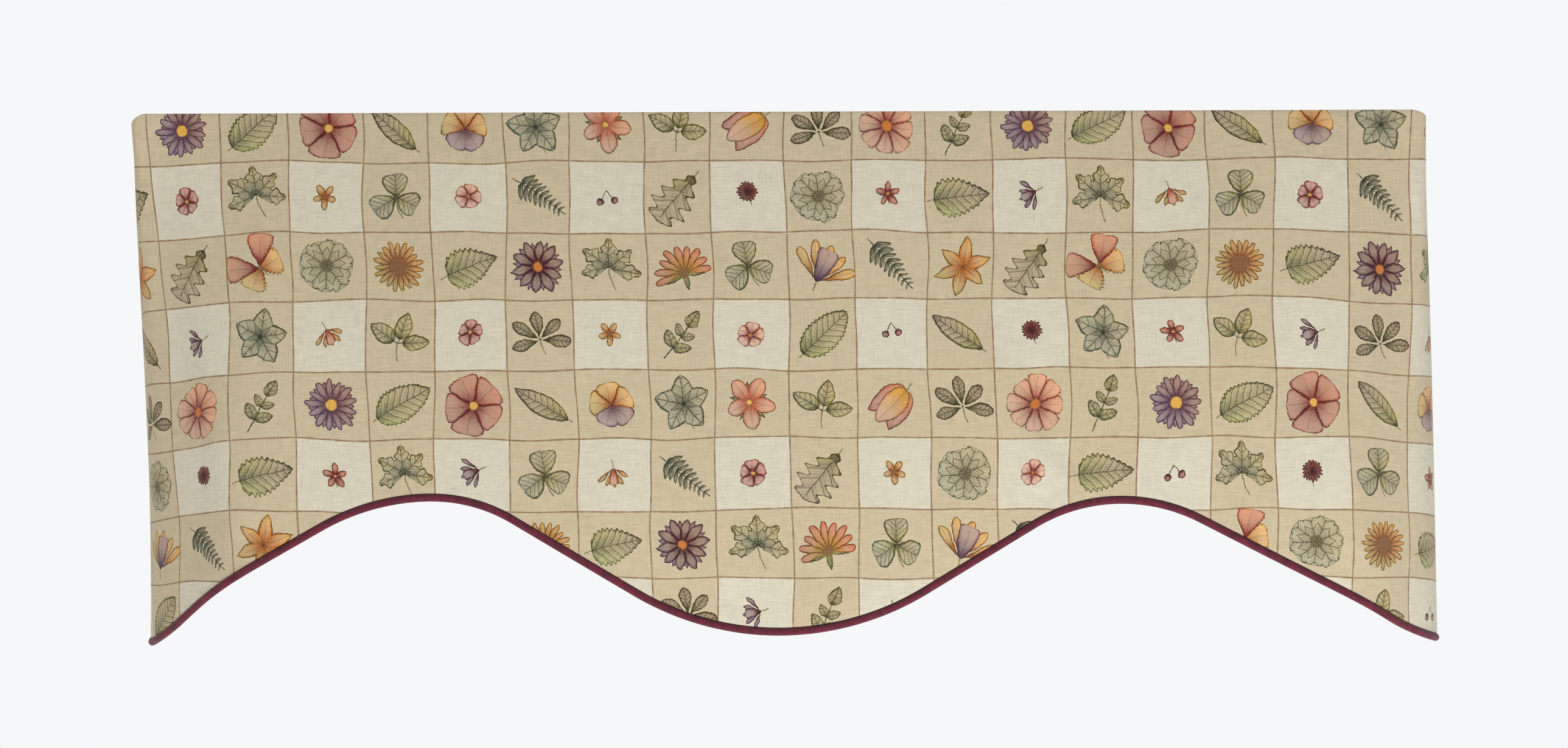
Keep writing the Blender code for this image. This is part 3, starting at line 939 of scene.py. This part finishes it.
# A motif's numbers are kept beside its paints, each moved by a shift and divided by a span
RIDERS = [("front", 0, "eye", 0.0, 16.0), ("front", 1, "stalk", 0.0, 32.0),
          ("behind", 0, "turn", 0.0, 360.0), ("behind", 1, "back", 16.0, 64.0)]


def ramp_of(place, rows):
    """A step for each row of four numbers, read at the place from 0 to 1: (three numbers, fourth)."""
    node = new_node(place.tree, "ValToRGB", {"Fac": place})
    ramp = node.color_ramp
    ramp.interpolation = "CONSTANT"
    for number in range(len(rows) - 2):
        ramp.elements.new((number + 1) / len(rows))
    for number, row in enumerate(rows):
        ramp.elements[number].position = number / len(rows)
        ramp.elements[number].color = row
    return Value(node.outputs["Color"]), Value(node.outputs["Alpha"])


def read_whorl(place, which):
    """Every number of the front or back whorl of the motif at a place in the list."""
    names = list(SPANS)
    shape = {}
    for first in range(0, len(names), 4):
        group = names[first:first + 4]
        rows = [[WHORLS[row[which]][name] / SPANS[name] for name in group] for row in MOTIFS]
        colour, last = ramp_of(place, rows)
        for name, value in zip(group, parts(colour) + [last]):
            shape[name] = value * SPANS[name]
    return shape


def read_motif(place):
    """The paints, by whorl and end, and the numbers, by name, of the motif at a place in the list."""
    paints, numbers = {}, {}
    for which, end, number, shift, span in RIDERS:
        rows = [PAINTS[row[which + " paints"][end]][:3] + ((row[number] + shift) / span,) for row in MOTIFS]
        paints[which, end], value = ramp_of(place, rows)
        numbers[number] = value * span - shift
    paints["eye"], _ = ramp_of(place, [PAINTS[row["eye paint"]] for row in MOTIFS])
    return paints, numbers


def uneven(name, share):
    """The uneven value of that name at a share from 0 to 1."""
    value, added = UNEVEN[name]
    return value + added * share


def pen(distance, line):
    """The ink of a drawn line at a distance from its middle."""
    return smooth(distance, *PEN[line])


def fade(value, name):
    """How far a value is into the range of that name, eased."""
    return smooth(value, *FADES[name])


def from_line(place):
    """Distance from the nearest of the lines at every whole number and a half."""
    return size_of(work("FRACT", place) - 0.5)


def nearest_blade(x, y, shape):
    """The blade of a whorl nearest to (x, y), with the place in the blade's own axes.

    The angle round the centre over a blade's sector, rounded, gives the blade. The distance along the
    stem less the rake, over the pitch and rounded, gives the leaflet, whose foot is that far along.
    Leaflets shrink evenly up the stem, and a sine of their numbers makes blades differ. The gap is the
    distance to the line halfway to the next blade.
    """
    sector = 2.0 * np.pi / shape["count"]
    lean = work("RADIANS", shape["lean"])
    bearing = work("ARCTAN2", y, x) - lean
    number = work("ROUND", bearing / sector)
    angle = lean + number * sector
    steps = work("ROUND", (x - y * shape["rake"]) / shape["pitch"])
    foot = shape["pitch"] * least(most(steps, 1.0), shape["leaflets"])
    cosine, sine = work("COSINE", angle), work("SINE", angle)
    scale = 1.0 - foot / STEM_TAPER_MM - BLADE_UNEVEN * work("SINE", number * 4.0 + foot)
    return {
        "along": ((x - foot) * cosine + y * sine) / scale,
        "beside": (y * cosine - (x - foot) * sine) / scale,
        "foot": foot,
        "drawn": above(work("RADIANS", shape["fan"]), size_of(number * sector)),
        "gap": work("SQRT", x * x + y * y) * (0.5 * sector - size_of(bearing - number * sector)),
    }


def blade_edge(share, off, shape):
    """Distance in from a blade's edge and its half width, at a share of its length and an offset.

    The half width is half t^base (1 - t)^tip of the share t, times one plus a sine for its lobes. The
    distance is that less the offset, over the length of (1, the edge's slope).
    """
    t = least(most(share, BLADE_END), 1.0 - BLADE_END)
    rest = 1.0 - t
    width = shape["half"] * t ** shape["base"] * rest ** shape["tip"]
    lobed = width * (1.0 + shape["wavy"] * work("SINE", t * shape["lobes"] * (2.0 * np.pi)))
    slope = width * (shape["base"] / t - shape["tip"] / rest) / shape["reach"]
    return (lobed - off) / work("SQRT", 1.0 + slope * slope), lobed


def draw_whorl(x, y, shape, hand, leafy):
    """What a whorl puts at (x, y) millimetres: its cover, fill, ink, shade and tone.

    The outline is a line along the blade's edge, and the midrib one along its middle. Side veins are
    lines at even steps of the distance along the blade less 0.8 of the distance beside it. Each step
    has four fine hatches near the midrib and one pleat, which is darkest halfway between two veins
    and lightens outwards. A blade without veins has strokes along it instead, which thin out towards
    the tip. The colour covers the cloth most at the rim and the foot of a blade, and the tone runs
    from its inner paint to its outer one.
    """
    y = choose(shape["mirrored"], size_of(y), y)
    blade = nearest_blade(x, y, shape)
    along, beside = blade["along"], blade["beside"]
    off = size_of(beside)
    far_half = above(beside, 0.0)
    share = (along - shape["start"]) / shape["reach"]
    to_edge, half_width = blade_edge(share, off, shape)
    fill = fade(to_edge, "fill") * above(share, 0.0) * above(1.0, share) * blade["drawn"]
    unparted = (1.0 - shape["parted"]) * FAR_MM
    inside = least(to_edge, blade["gap"] * PARTING + unparted)

    veined = above(shape["ribs"], 0.5)
    vein_step = shape["reach"] / most(shape["ribs"], 0.5)
    vein_place = (along - shape["start"] - RIB_SLANT * off) / vein_step
    from_vein = from_line(vein_place) * vein_step
    from_hatch = from_line(vein_place * HATCHES) * (vein_step / HATCHES)
    from_stroke = from_line(beside * STROKES_PER_MM + hand * SHAKES["stroke"])
    near_midrib = fade(off / most(half_width, 0.5) + hand * SHAKES["near midrib"], "near midrib")
    near_foot = fade(share + hand * SHAKES["strokes by foot"], "strokes by foot")
    midrib_ink = choose(leafy, MARKS["leaf midrib"], MARKS["petal midrib"])
    marks = most(
        pen(off, "midrib") * above(MIDRIB_END, share) * midrib_ink,
        pen(from_vein, "rib") * veined * MARKS["rib"],
        pen(from_hatch, "hatch") * veined * near_midrib * MARKS["hatch"],
        pen(from_stroke, "stroke") * near_foot * (1.0 - veined) * MARKS["stroke"],
    )
    outline = pen(inside + hand * SHAKES["outline"] - FAR_OUTLINE_MM * far_half * leafy, "outline")
    leaf_stalk = pen(off, "leaf stalk") * above(along, 0.0) * above(0.0, share) * blade["drawn"]
    foot = blade["foot"]
    stem = pen(size_of(y), "stem") * above(x, 0.0) * above(foot, 0.5) * above(foot + STEM_PAST_MM, x)

    pleat = (1.0 - work("FRACT", vein_place)) * veined
    rim = fade(inside, "rim")
    dark_foot = choose(leafy, SHADES["leaf foot"], SHADES["petal foot"]) * near_midrib
    cover = choose(leafy, COVERS["leaf"], COVERS["petal"]) + COVERS["pleat"] * pleat + COVERS["rim"] * rim
    cover = cover + COVERS["foot"] * fade(share, "cover by foot")
    return {
        "cover": fill * least(cover, 1.0),
        "fill": fill,
        "ink": most(fill * most(outline, marks), leaf_stalk * above(shape["start"], 0.5), stem),
        "shade": 1.0 - SHADES["far half"] * far_half - SHADES["rim"] * rim
        - dark_foot * fade(share, "shade by foot") - SHADES["pleat"] * pleat * pleat,
        "tone": fade(share, "tone from foot"),
    }


def tell_square(across, down):
    """Which square a place lies in: its numbers, its place from the middle, and its distance to a line.

    A place in a pair of columns or rows is the remainder after whole pairs. It lies in the second
    column or row if it is past the first one's width.
    """
    def split(place, first_line, pair, first_width):
        """The pair's number, 1 in its second part, and the places from that part's middle and line."""
        run = (place - first_line) / pair
        number = work("FLOOR", run)
        within = (run - number) * pair
        second = above(within, first_width)
        start = second * first_width
        width = choose(second, pair - first_width, first_width)
        middle = within - start - width * 0.5
        return number, second, middle, width * 0.5 - size_of(middle)

    column, narrow, x, to_side = split(across, FIRST_LINE_MM, PAIR_ACROSS_MM, WIDE_MM)
    row, checked, y, to_foot = split(down, FIRST_ROW_MM, PAIR_DOWN_MM, PLAIN_ROW_MM)
    return {"column": column, "narrow": narrow, "row": row, "checked": checked, "x": x, "y": 0.0 - y,
            "to_side": to_side, "to_foot": to_foot}


def lay_check(place):
    """The square of the check at a place, and the wash of its ink.

    The columns lean: they move right by the drop times the lean, which grows evenly to the left.
    Slow noise moves every line a little.
    """
    across, down, _ = parts(place)
    drift = noise(place, *NOISES["drift"])
    lean = down * (PRINT_LEAN_MM - across * PRINT_FAN_MM)
    across_mm = across * 1000.0 - lean + PRINT_DRIFT_MM * (drift[0] - 0.5)
    down_mm = down * 1000.0 + PRINT_DRIFT_MM * (drift[1] - 0.5)
    return tell_square(across_mm, down_mm), noise(place, *NOISES["wash"])


def draw_ground(square, wash):
    """The check's ground: tan and cream squares with thin brown lines between them, unevenly inked."""
    cream = square["checked"] * (1.0 - square["narrow"])
    mottle = uneven("ground", wash[0])
    green, blue = uneven("ground green", wash[1]), uneven("ground blue", wash[1])
    ground = tint(blend(TAN, CREAM, cream), mottle, mottle * green, mottle * blue)
    side_line = pen(square["to_side"] + LINE_WOBBLE_MM * (wash[2] - 0.5), "check")
    foot_line = pen(square["to_foot"] + LINE_WOBBLE_MM * (wash[0] - 0.5), "check")
    return blend(ground, LINE, least(most(side_line, foot_line) * uneven("line", wash[1]), 1.0))


def pick_motif(square):
    """The number in the list of a square's motif.

    It is its family's first plus the remainder of (2 column + 5 row), or of (3 column + 2 row) for a
    sprig, after whole families. So flowers and leaves repeat every six pairs of columns and sprigs
    every eight. The plain rows hold flowers in their wide squares and in their narrow ones by turns,
    and leaves in the others. The cream squares hold sprigs.
    """
    column, row = square["column"], square["row"]
    wide = 1.0 - square["narrow"]
    plain = 1.0 - square["checked"]
    order = 2.0 * column + 5.0 * row + WHOLE_FAMILIES
    flower = work("MODULO", order, float(len(FLOWERS)))
    leaf = work("MODULO", order + 11.0 * square["checked"], float(len(LEAVES))) + len(FLOWERS)
    sprig_order = 3.0 * column + 2.0 * row + WHOLE_FAMILIES
    sprig = work("MODULO", sprig_order, float(len(SPRIGS))) + len(FLOWERS + LEAVES)
    even_row = 1.0 - work("MODULO", row + WHOLE_FAMILIES, 2.0)
    has_flower = plain * choose(even_row, wide, square["narrow"])
    has_sprig = square["checked"] * wide
    return choose(has_flower, flower, choose(has_sprig, sprig, leaf))


def place_motif(square, numbers, grown, wash, hand):
    """A place from the middle of its square's motif, and the same in the motif's own axes.

    The middle is moved by the square's luck, the wash and the hand. The motif's own axes are turned
    by its angle, which the luck changes a little, and divided by its growth; its centre lies back
    from the middle along the first.
    """
    pair = (square["column"] * 2.0 + square["narrow"], square["row"] * 2.0 + square["checked"])
    luck = chance(vector(grown.tree, *pair))

    def wobble(luck_part, part):
        """The three shakes less a half each, times their ranges."""
        shakes = {"luck": luck[luck_part], "wash": wash[part], "hand": hand[part]}
        return sum(WOBBLES_MM[name] * (shake - 0.5) for name, shake in shakes.items())

    x = square["x"] + wobble(0, 1)
    y = square["y"] + wobble(1, 2)
    angle = work("RADIANS", numbers["turn"] + TURN_WOBBLE * (luck[2] - 0.5))
    cosine, sine = work("COSINE", angle) / grown, work("SINE", angle) / grown
    return x, y, x * cosine + y * sine + numbers["back"], y * cosine - x * sine


def draw_motif(ground, square, wash, hand):
    """The flower, leaf or sprig of a square over its ground.

    The stalk, the back whorl, the front whorl and the eye are laid over one another in that order,
    and nothing behind shows through the front whorl. The stalk bends aside by the square of the
    distance from the centre. Colours grow warmer up and to the right. A blade's lines are its own
    colour darkened, mixed with plain ink on a leaf.
    """
    kind = pick_motif(square)
    sprigs_from = len(FLOWERS + LEAVES) - 0.5
    leafy = above(kind, len(FLOWERS) - 0.5) * above(sprigs_from, kind)
    place = (kind + 0.5) / float(len(MOTIFS))
    paints, numbers = read_motif(place)
    x, y, own_x, own_y = place_motif(square, numbers, 1.0 + GROWTH * above(sprigs_from, kind), wash, hand)

    stroke = hand[0] - 0.5
    front = draw_whorl(own_x, own_y, read_whorl(place, "front"), stroke, leafy)
    behind = draw_whorl(own_x, own_y, read_whorl(place, "behind"), stroke, leafy)
    clear = 1.0 - front["fill"]
    behind.update(cover=behind["cover"] * clear, ink=behind["ink"] * clear)

    bend = size_of(own_y + STALK_BEND * own_x * own_x)
    stalk = pen(bend, "stalk") * above(0.0, own_x) * above(own_x + numbers["stalk"], 0.0)
    drawn = blend(ground, PAINTS["moss"], stalk * clear * OPACITY["stalk"])
    strength = uneven("colour", wash[0])
    warm = fade(x + y, "warmth")
    red, blue = uneven("warm red", warm), uneven("warm blue", warm)
    for name, layer in (("behind", behind), ("front", front)):
        colour = blend(paints[name, 0], paints[name, 1], layer["tone"])
        shade = layer["shade"]
        colour = tint(colour, shade * red, shade, shade * blue)
        dark = blend(tint(colour, *LINE_TINT), INK, leafy * LEAF_INK)
        drawn = blend(drawn, colour, least(layer["cover"] * strength, 1.0))
        drawn = blend(drawn, dark, layer["ink"] * OPACITY["ink"])

    eye = numbers["eye"]
    has_eye = above(eye, 0.1)
    in_from_eye = eye - work("SQRT", own_x * own_x + own_y * own_y)
    eye_shade = uneven("eye", hand[0])
    eye_colour = tint(paints["eye"], eye_shade, eye_shade, eye_shade)
    drawn = blend(drawn, eye_colour, fade(in_from_eye, "eye") * has_eye * OPACITY["eye"])
    return blend(drawn, PAINTS["brown"], pen(size_of(in_from_eye), "ring") * has_eye * OPACITY["ring"])


# ---------------------------------------------------------------- finishes

WEAVE_PITCH = 0.00052
COVER_PITCH = 0.00045        # of the weave of the cord's cover
BIAS = 0.7071                # cosine of the 45 degrees by which that cover is cut
YARN = {"level": 0.70, "weft": 0.34, "warp": 0.26}    # lightness of the yarns, even and uneven
RELIEF = {"weave": 0.5, "weft": 0.8, "warp": 0.6, "cover": 0.8}
COVER_MIX = 0.6              # how much blotches and threads each lighten the cord's cover
BLOTCHES = (90.0, 2.0)
FLOOR_NOISE = (0.8, 2.0)
# Streaky random numbers: their scales one way and the other, and their detail
STREAKS = {"weft": (55.0, 1500.0, 2.0), "warp": (1500.0, 60.0, 2.0), "cover": (900.0, 120.0, 1.0),
           "twist": (2600.0, 2600.0, 1.0)}
NATURAL = paint(198, 191, 176)
BURGUNDY = (paint(68, 11, 28), paint(102, 20, 44))
FLOOR_TONES = (paint(232, 230, 226), paint(240, 239, 236))


def make_finish(name, place_kind, colour_and_height, roughness, specular=0.5, sheen=0.0,
                sheen_roughness=0.5, bump=0.0):
    """A material whose colour and height, from 0 to 1, are worked out from a place of a kind.

    The height times bump is how far the surface seems raised. A finish without a bump has no height.
    """
    finish = bpy.data.materials.new(name)
    finish.use_nodes = True
    tree = finish.node_tree
    sockets = tree.nodes["Principled BSDF"].inputs
    colour, height = colour_and_height(Value(new_node(tree, "TexCoord").outputs[place_kind]))
    feed(sockets["Base Color"], colour)
    if bump:
        inputs = {"Strength": 1.0, "Distance": bump, "Height": height}
        feed(sockets["Normal"], Value(new_node(tree, "Bump", inputs).outputs["Normal"]))
    sockets["Roughness"].default_value = roughness
    sockets["Specular IOR Level"].default_value = specular
    sockets["Sheen Weight"].default_value = sheen
    sockets["Sheen Roughness"].default_value = sheen_roughness
    return finish


def plain_weave(across, down, pitch):
    """Height of a plain weave: the rounded backs of two sets of threads, each over the other by turns.

    A thread's back is the size of a sine that has one half wave to a thread, and the sign of the two
    sines' product says which set lies on top.
    """
    warp = work("SINE", across * (np.pi / pitch))
    weft = work("SINE", down * (np.pi / pitch))
    over = above(warp * weft, 0.0)
    return choose(over, size_of(warp), size_of(weft))


def streaks(across, down, name):
    """Soft random numbers drawn out one way: noise of the place times its scale each way."""
    across_scale, down_scale, detail = STREAKS[name]
    return noise(vector(across.tree, across * across_scale, down * down_scale), 1.0, detail)


def cotton(place, colour):
    """A colour on slubby yarn, and the height of its plain weave.

    The slubs, the thick places in the yarns, are streaks along the width, and along the drop.
    """
    across, down, _ = parts(place)
    weft, warp = streaks(across, down, "weft")[0], streaks(across, down, "warp")[1]
    yarn = YARN["level"] + YARN["weft"] * weft + YARN["warp"] * warp
    weave = plain_weave(across, down, WEAVE_PITCH)
    height = weave * RELIEF["weave"] + weft * RELIEF["weft"] + warp * RELIEF["warp"]
    return tint(colour, yarn, yarn, yarn), height


def printed(place):
    """Matt cotton printed on its face."""
    square, wash = lay_check(place)
    hand = noise(place, *NOISES["hand"])
    return cotton(place, draw_motif(draw_ground(square, wash), square, wash, hand))


def unprinted(place):
    """The reverse of the same cotton: natural, with the check showing faintly through."""
    square, wash = lay_check(place)
    return cotton(place, blend(draw_ground(square, wash), NATURAL, uneven("reverse", wash[0])))


def bias_cover(place):
    """Burgundy cotton cut on the bias, so its threads cross the cord slantwise."""
    along, girth, _ = parts(place)
    warp, weft = (along + girth) * BIAS, (along - girth) * BIAS
    blotch = noise(place, *BLOTCHES)
    fine = streaks(warp, weft, "cover")
    light = fade(blotch[0] * COVER_MIX + fine[0] * COVER_MIX, "cover light")
    return blend(*BURGUNDY, light), plain_weave(warp, weft, COVER_PITCH) + fine[1] * RELIEF["cover"]


def thread_finish(name, dark, light):
    """Twisted sewing thread, lighter and darker by turns."""
    def twisted(place):
        """Soft spots as short as the thread is thick."""
        x, y, z = parts(place)
        return blend(dark, light, fade(streaks(x + y, z, "twist")[0], "twist")), None

    return make_finish(name, "Object", twisted, roughness=0.6)


def pale(place):
    """A pale tone with a faint, wide unevenness."""
    return blend(*FLOOR_TONES, noise(place, *FLOOR_NOISE)[0]), None


# ---------------------------------------------------------------- the stage

CAMERA_PLACE = (0.0, -3.487, -0.470)
CAMERA_AIM = (0.004, -0.010, -0.215)
CAMERA_LENS_MM = 99.0
CAMERA_SENSOR_MM = 36.0
CAMERA_ROLL = -0.2
LIGHT_AIM = (0.0, 0.0, -0.2)
LIGHTS = table("name place size power", [
    ("key", (0.45, -0.85, -1.30), 0.9, 19.5),
    ("left", (-1.05, -0.60, -0.80), 0.6, 2.2),
    ("rear", (0.6, 3.0, 2.0), 2.4, 36.0),
])
SKY = {"Color": (0.985, 0.99, 1.0, 1.0), "Strength": 0.94}
FLOOR_Z = -2.20
FLOOR_HALF = 9.0


def place_thing(name, data, place, target):
    """An object at a place with its -Z axis towards a point and its own Y up."""
    thing = bpy.data.objects.new(name, data)
    bpy.context.scene.collection.objects.link(thing)
    thing.location = place
    direction = Vector(target) - thing.location
    thing.rotation_euler = direction.to_track_quat("-Z", "Y").to_euler()
    return thing


def make_camera():
    """The scene's camera, rolled a little about its own axis."""
    lens = bpy.data.cameras.new("camera")
    lens.lens = CAMERA_LENS_MM
    lens.sensor_width = CAMERA_SENSOR_MM
    camera = place_thing("camera", lens, CAMERA_PLACE, CAMERA_AIM)
    roll = Matrix.Rotation(np.radians(CAMERA_ROLL), 3, "Z")
    camera.rotation_euler = (camera.rotation_euler.to_matrix() @ roll).to_euler()
    bpy.context.scene.camera = camera


def make_lights():
    """Round lamps, and an even sky."""
    for row in LIGHTS:
        lamp = bpy.data.lights.new(row["name"], "AREA")
        lamp.shape = "DISK"
        lamp.size = row["size"]
        lamp.energy = row["power"]
        place_thing(row["name"], lamp, row["place"], LIGHT_AIM)
    world = bpy.data.worlds.new("studio")
    world.use_nodes = True
    for name, value in SKY.items():
        world.node_tree.nodes["Background"].inputs[name].default_value = value
    bpy.context.scene.world = world
    bpy.context.scene.view_settings.view_transform = "Standard"


def make_floor():
    """One flat square far below the valance."""
    ends = FLOOR_HALF * np.array([-1.0, 1.0])
    x, y = np.meshgrid(ends, ends)
    points = np.stack([x, y, np.full(x.shape, FLOOR_Z)], axis=-1)
    faces = lattice(np.arange(4).reshape(2, 2))
    finish = make_finish("pale_floor", "Object", pale, roughness=0.95, specular=0.1)
    floor = make_piece("pale_floor", points, faces, [finish], rounded=False)


make_camera()
make_lights()
make_floor()

cotton_face = make_finish("printed_cotton_face", "UV", printed, roughness=0.88, specular=0.25, sheen=0.12,
                          bump=0.00016)
cotton_reverse = make_finish("cotton_reverse", "UV", unprinted, roughness=0.92, specular=0.22, sheen=0.15,
                             bump=0.00018)
cord_cotton = make_finish("welt_cord_cotton", "UV", bias_cover, roughness=0.70, specular=0.30, sheen=0.10,
                          sheen_roughness=0.4, bump=0.00012)
tan_thread = thread_finish("tan_thread", paint(176, 156, 122), paint(212, 196, 166))
wine_thread = thread_finish("wine_thread", paint(92, 22, 46), paint(134, 44, 72))

cloth = make_cloth(cotton_face, cotton_reverse)
cord = make_cord(cord_cotton)
blind, machine = BLIND_STITCH["length"], MACHINE_STITCH["length"]
seams = [
    sew("top_turn_stitches", tan_thread, top_seam(), DOUBLED, blind),
    sew("side_turn_stitches", tan_thread, side_seams(), DOUBLED, blind),
    sew("welt_flange_stitches", wine_thread, flange_seam(), DOUBLED + FLANGE_GAP + FLANGE, machine),
]

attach(cloth, "root")
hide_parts("valance_cloth")
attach(cord, "root")
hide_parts("hem_piping")
for seam, slot in zip(seams, ("printed_cotton", "printed_cotton", "welt_cord")):
    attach(seam, "root")

stations = np.linspace(-HALF_CUT, HALF_CUT, CUT_SAMPLES)
hem = hem_drop(stations)
